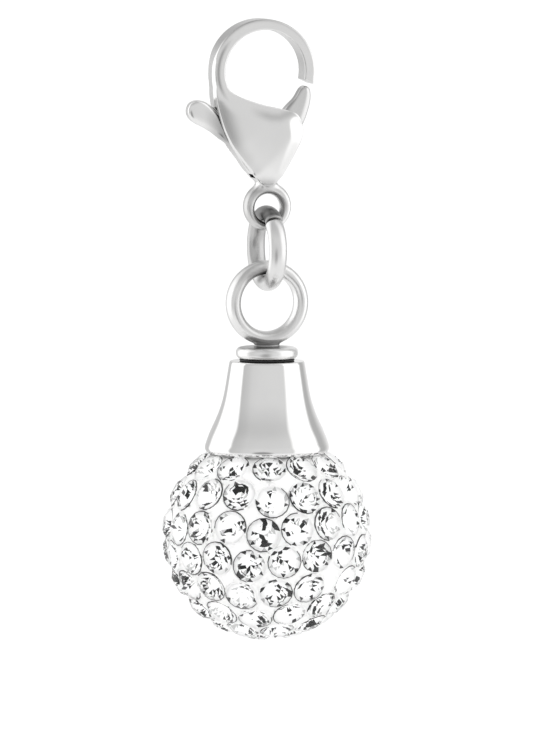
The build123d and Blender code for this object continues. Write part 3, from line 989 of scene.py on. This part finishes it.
def makeBell(part):
    top, edge, bore, tube = part["top"], part["topEdge"], part["boreRadius"], part["tubeRadius"]
    downs, outs = zip(*part["flare"])
    shares = np.linspace(0, 1, 90)
    radii = part["topRadius"] + cubicThrough(downs, outs, shares) * (part["rimRadius"] - part["topRadius"])
    side = [(part["topRadius"] - edge + edge * math.sin(t), top - edge + edge * math.cos(t))
            for t in np.linspace(0, math.pi / 2, 6)]
    side += [(r, top - s * part["height"]) for r, s in zip(radii, shares) if s * part["height"] > edge * 1.3]
    start, before = np.array(side[-1]), np.array(side[-3])
    slope = (start - before) / np.linalg.norm(start - before)
    end = np.array((part["lipRadius"], top - part["height"] - part["lip"]))
    pulls = [start, start + slope * part["lipPull"], end + part["lipTurn"], end]
    lip = []
    for t in np.linspace(0, 1, 14)[1:]:
        weights = ((1 - t) ** 3, 3 * t * (1 - t) ** 2, 3 * t * t * (1 - t), t**3)
        lip.append(tuple(sum(w * b for w, b in zip(weights, pulls))))
    around = part["seatRadius"]
    startAngle, endAngle = (math.asin(radius / around) for radius in (part["lipRadius"], tube))
    angles = [startAngle + (endAngle - startAngle) * t for t in np.linspace(0.02, 1, 14)]
    seat = [(around * math.sin(angle), part["ballZ"] + around * math.cos(angle)) for angle in angles]
    bottom, floor = part["tubeBottom"], part["tubeBottom"] + part["tubeFloor"]
    mouthEdge, floorEdge = part["boreEdges"]
    outline = [(0, floor), (bore - floorEdge, floor), (bore, floor + floorEdge), (bore, top - mouthEdge),
               (bore + mouthEdge, top)]
    outline += side + lip + seat
    outline += [(tube, bottom + part["tubeEdge"]), (tube - part["tubeEdge"], bottom), (0, bottom)]
    piece = turnedPiece("bellCap", outline, part["segments"], [polishedSteel])
    crispEdges(piece, part["crisp"])
    return piece


wear(makeBell(bell), "bell_cap", "urn")
print("seal and bell are turned")


# Stones

stones = {
    "radius": 0.95,
    "girdle": 5.75,  # from the ball's middle
    "ballZ": -29.42,
    "table": 0.54,
    "crown": 0.31,
    "star": (0.46, 0.53),  # where the star facets end: the share of the way out, and of the crown's height
    "edge": 0.05,
    "under": 0.03,  # how far the girdle goes on under the painted shadow line
    "pavilion": [(0.62, 0.45), (0.3, 0.76)],  # its two rings, as shares of the radius and the depth
    "depth": 0.74,
    "lip": 0.045,  # the painted shadow line round the stone, in its gap to the clay
    "lipDrop": 0.015,
    "lipDark": (6, 13),  # how many of its 16 lengths are painted shadow; the rest take the white foil tone
    "sunk": 0.03,  # most that a stone sits lower than its neighbours
    "tilt": 2.2,  # degrees, most that one leans along each axis
    "seed": 11,
    "paintedReflectionTones": (0.98, 0.55, 0.004),  # painted reflections: white, grey and black facets
    "grey": 0.07,  # their share
    "black": (0.11, 0.27),
    "evenRounds": 60,
    "evenReach": 2.55,  # mm
    "evenShare": 0.12,
    "stray": 0.15 / 1.7,  # mm, how far a stone usually sits from its even place along each axis
    "closeRounds": 400,
    "closest": 2.04,
    "closeShare": 0.3,
}


# the frame's own stones, each as the direction from the ball's middle to its middle
def stoneDirections(part):
    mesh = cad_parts["stones"].data
    spots = np.round((cornersOf(mesh) - (0, 0, part["ballZ"])) * 2000).astype(int)
    keys, same = np.unique(spots, axis=0, return_inverse=True)
    same = same.reshape(-1)
    faces = same[[tuple(polygon.vertices) for polygon in mesh.polygons]]
    # corners that share a face take the lowest of their labels until each stone has one
    label, before = np.arange(len(keys)), None
    while before is None or (label != before).any():
        before = label.copy()
        np.minimum.at(label, faces, label[faces].min(axis=1)[:, None])
        label = label[label]
    found, first = np.unique(label[same], return_index=True)
    middles = np.array([keys[label == one].mean(axis=0) for one in found[np.argsort(first)]])
    return middles / np.linalg.norm(middles, axis=1)[:, None]


def stoneShape(part):
    radius, crown, depth = part["radius"], part["crown"], part["depth"]
    table, lipRadius = radius * part["table"], radius + part["lip"]
    starOut, starUp = part["star"]
    (midOut, midDown), (lowOut, lowDown) = part["pavilion"]

    def ring(size, height, count, shift=0.0):
        turns = [2 * math.pi * (k + shift) / count for k in range(count)]
        return [(size * math.cos(turn), size * math.sin(turn), height) for turn in turns]

    points = ring(table, crown, 8) + ring(table + (radius - table) * starOut, crown * starUp, 8, 0.5)
    points += ring(radius, 0, 16) + ring(radius, -part["edge"] - part["under"], 16)
    points += ring(radius * midOut, -depth * midDown, 16, 0.5)
    points += ring(radius * lowOut, -depth * lowDown, 8, 0.25)
    points += [(0, 0, -depth)] + ring(lipRadius, -part["lipDrop"], 16) + ring(lipRadius, -part["edge"], 16)
    star, top, foot, mid, low, culet, lip, under = 8, 16, 32, 48, 64, 72, 73, 89
    crowns, girdles, pavilions = [tuple(range(8))], [], []
    for k in range(8):
        after, here, beside, next2 = (k + 1) % 8, 2 * k, 2 * k + 1, (2 * k + 2) % 16
        crowns += [(k, star + k, after), (k, star + (k - 1) % 8, top + here, star + k),
                   (star + k, top + here, top + beside), (star + k, top + beside, top + next2)]
        pavilions += [(mid + here, low + k, mid + beside), (mid + beside, low + k, low + after),
                      (mid + beside, low + after, mid + next2), (low + k, culet, low + after)]
    for k in range(16):
        after = (k + 1) % 16
        girdles += [(top + k, lip + k, lip + after, top + after),
                    (lip + k, under + k, under + after, lip + after),
                    (under + k, foot + k, foot + after, under + after),
                    (foot + k, mid + k, foot + after), (foot + after, mid + k, mid + after)]
    # the crown is glass, the girdle and the rim round it are the painted shadow line, the pavilion is foil
    kinds = [0] * len(crowns) + [2, 2, 2, 1, 1] * 16 + [1] * len(pavilions)
    return np.array(points), crowns + girdles + pavilions, np.array(kinds)


# two directions square to a stone's own
def squareTo(direction):
    side = np.cross(direction, (0.31, 0.17, 0.93))
    side /= np.linalg.norm(side)
    return side, np.cross(direction, side)


def makeStones(part, places):
    shape, shapeFaces, kinds = stoneShape(part)
    lips = np.flatnonzero(kinds == 2).reshape(16, 3)
    chance, setting = (np.random.default_rng(part["seed"] + k) for k in (0, 1))
    points, faces, slots, paintedReflectionTones = [], [], [], []
    for place in places:
        lean = math.sin(math.radians(part["tilt"])) * setting.uniform(-1, 1, 3)
        direction = place + lean - place * (place @ lean)
        direction /= np.linalg.norm(direction)
        side, front = squareTo(direction)
        spin = chance.uniform(0, 2 * math.pi)
        across = side * math.cos(spin) + front * math.sin(spin)
        placed = shape @ np.array([across, np.cross(direction, across), direction])
        placed += place * (part["girdle"] - part["sunk"] * setting.uniform(0, 1)) + (0, 0, part["ballZ"])
        faces += [tuple(len(points) + corner for corner in face) for face in shapeFaces]
        points += placed.tolist()
        # painted shadow round the girdle on some lengths; the rest take the foil with a white painted
        # reflection
        dark, start = setting.integers(*part["lipDark"]), setting.integers(16)
        lit = lips[(start + np.arange(dark, 16)) % 16].ravel()
        # painted reflections: each facet's tone is drawn at random as white, grey or black
        black, grey = chance.uniform(*part["black"]), part["grey"]
        shades = chance.choice(part["paintedReflectionTones"], size=len(kinds), p=(1 - black - grey, grey, black))
        own = kinds.copy()
        own[lit], shades[lit] = 1, part["paintedReflectionTones"][0]
        slots += own.tolist()
        paintedReflectionTones += shades.tolist()
    piece = newPiece("cutStones", points, faces, [clearCrystal, silverFoil, paintedGapShadow], smooth=False)
    piece.data.polygons.foreach_set("material_index", slots)
    counts = [polygon.loop_total for polygon in piece.data.polygons]
    colours = np.ones((sum(counts), 4))
    colours[:, :3] = np.repeat(paintedReflectionTones, counts)[:, None]
    paintedFacetReflection = piece.data.attributes.new("paintedFacetReflection", "FLOAT_COLOR", "CORNER")
    paintedFacetReflection.data.foreach_set("color", colours.ravel())
    return piece


def apart(places):
    gaps = places[:, None] - places[None]
    return gaps, np.linalg.norm(gaps, axis=2) + 10 * np.eye(len(places))


# stones nearer to each other than the reach push apart, as far as each is free to
def pushApart(part, places, free, reach, share, rounds):
    for _ in range(rounds):
        gaps, distance = apart(places)
        push = np.maximum(reach / distance - 1, 0)[:, :, None] * gaps
        places = places + push.sum(axis=1) * free[:, None] * share
        places *= part["girdle"] / np.linalg.norm(places, axis=1)[:, None]
    return places


# evenly spread at the back, which the photo doesn't show, and a little astray all round, as set by hand
def settle(part, places):
    places = places * part["girdle"]
    highest = places[:, 2].max()
    free = smoothStep(places[:, 1], 0.5, 2.5) * (places[:, 2] < highest - 0.3)
    places = pushApart(part, places, free, part["evenReach"], part["evenShare"], part["evenRounds"])
    astray = np.random.default_rng(part["seed"] + 2).normal(0, part["stray"], places.shape)
    astray -= places * (np.sum(astray * places, axis=1) / part["girdle"] ** 2)[:, None]
    loose = 1 - smoothStep(places[:, 2], highest - 0.6, highest - 0.2)  # the row under the bell stays
    places = places + astray * loose[:, None]
    places = pushApart(part, places, loose, part["closest"], part["closeShare"], part["closeRounds"])
    print("nearest stones are", round(float(apart(places)[1].min()), 3), "mm apart")
    return places / part["girdle"]


directions = settle(stones, stoneDirections(stones))
wear(makeStones(stones, directions), "stones", "urn")
print(len(directions), "stones are set")


# Clay ball

clay = {
    "radius": 5.69,
    "ballZ": -29.42,
    "seat": 5.75,  # where the stones' girdles are
    "seatDepth": 0.82,
    # the pocket and the collar round each stone: how far out, and how far above the seat
    "rings": [(0.32, -0.66), (0.64, -0.44), (0.9, -0.16), (0.965, -0.1), (0.99, -0.03), (1.03, -0.02)],
    "ringCount": 40,
    "ringClear": 1.0,  # nothing of one ring comes so near to another stone's middle
    "betweenFrom": 1.07,  # how far from a stone's middle the plain clay begins
    "spacing": 0.13,
    "holeRadius": 1.69,
    "holeBottom": -31.14,
    "holeSteps": 64,
    "lump": 0.006,
    "crisp": 60,  # degrees
    "seed": 5,
}


def makeClayBall(part, directions):
    chance = np.random.default_rng(part["seed"])
    spots = []
    for direction in directions:
        side, front = squareTo(direction)
        spots.append(direction * (part["seat"] - part["seatDepth"]))
        for out, height in part["rings"]:
            for spin in 2 * math.pi * np.arange(part["ringCount"]) / part["ringCount"]:
                across = side * math.cos(spin) + front * math.sin(spin)
                spots.append(direction * (part["seat"] + height) + out * across)
    radii = np.linalg.norm(spots, axis=1)
    spots = spots / radii[:, None]
    # rings that reach into a neighbour's seat are dropped
    closeness = spots @ directions.T
    own = np.repeat(np.arange(len(directions)), 1 + part["ringCount"] * len(part["rings"]))
    closeness[np.arange(len(spots)), own] = -1
    keep = closeness.max(axis=1) < math.cos(part["ringClear"] / part["seat"])
    # clay between the stones
    count = int(4 * math.pi * part["radius"] ** 2 / part["spacing"] ** 2)
    steps = np.arange(count) + 0.5
    heights, turns = 1 - 2 * steps / count, math.pi * (1 + 5**0.5) * steps
    level = np.sqrt(1 - heights**2)
    between = np.stack([level * np.cos(turns), level * np.sin(turns), heights], axis=1)
    between = between[(between @ directions.T).max(axis=1) < math.cos(part["betweenFrom"] / part["seat"])]
    bumps = part["radius"] + chance.uniform(-1, 1, len(between)) * part["lump"]
    spots, radii = np.concatenate([spots[keep], between]), np.concatenate([radii[keep], bumps])
    # the mouth of the hole for the bell's tube
    sides = part["holeSteps"]
    mouth = math.asin(part["holeRadius"] / part["radius"])
    spins = 2 * math.pi * np.arange(sides) / sides
    rim = np.stack([np.cos(spins) * math.sin(mouth), np.sin(spins) * math.sin(mouth),
                    np.full(sides, math.cos(mouth))], axis=1)
    outside = spots[:, 2] < math.cos(mouth + 0.015)
    spots = np.concatenate([spots[outside], rim])
    radii = np.concatenate([radii[outside], np.full(sides, part["radius"])])
    # the spots on a round ball are joined by its hull, and then take their own radii
    shaped = bmesh.new()
    for spot in spots:
        shaped.verts.new(spot * 1000)
    shaped.verts.index_update()
    bmesh.ops.convex_hull(shaped, input=shaped.verts, use_existing_faces=False)
    loose = [vert for vert in shaped.verts if not vert.link_faces]
    for vert in shaped.verts:
        vert.co = Vector(spots[vert.index] * radii[vert.index])
        vert.co.z += part["ballZ"]
        vert.co *= mm
    shaped.verts.ensure_lookup_table()
    rimCorners = shaped.verts[len(spots) - sides:]
    mouthFaces = [face for face in shaped.faces if all(corner in rimCorners for corner in face.verts)]
    bmesh.ops.delete(shaped, geom=mouthFaces, context="FACES_ONLY")
    footCorners = [shaped.verts.new((*corner.co.xy, part["holeBottom"] * mm)) for corner in rimCorners]
    middle = shaped.verts.new((0, 0, part["holeBottom"] * mm))
    for k in range(sides):
        after = (k + 1) % sides
        shaped.faces.new((rimCorners[after], rimCorners[k], footCorners[k], footCorners[after]))
        shaped.faces.new((footCorners[after], footCorners[k], middle))
    bmesh.ops.delete(shaped, geom=loose, context="VERTS")
    bmesh.ops.recalc_face_normals(shaped, faces=shaped.faces)
    mesh = bpy.data.meshes.new("clayBall")
    shaped.to_mesh(mesh)
    shaped.free()
    mesh.materials.append(whiteClay)
    mesh.polygons.foreach_set("use_smooth", [True] * len(mesh.polygons))
    piece = showObject("clayBall", mesh)
    crispEdges(piece, part["crisp"])
    return piece


wear(makeClayBall(clay, directions), "ball_core", "urn")
print("the ball is pressed")
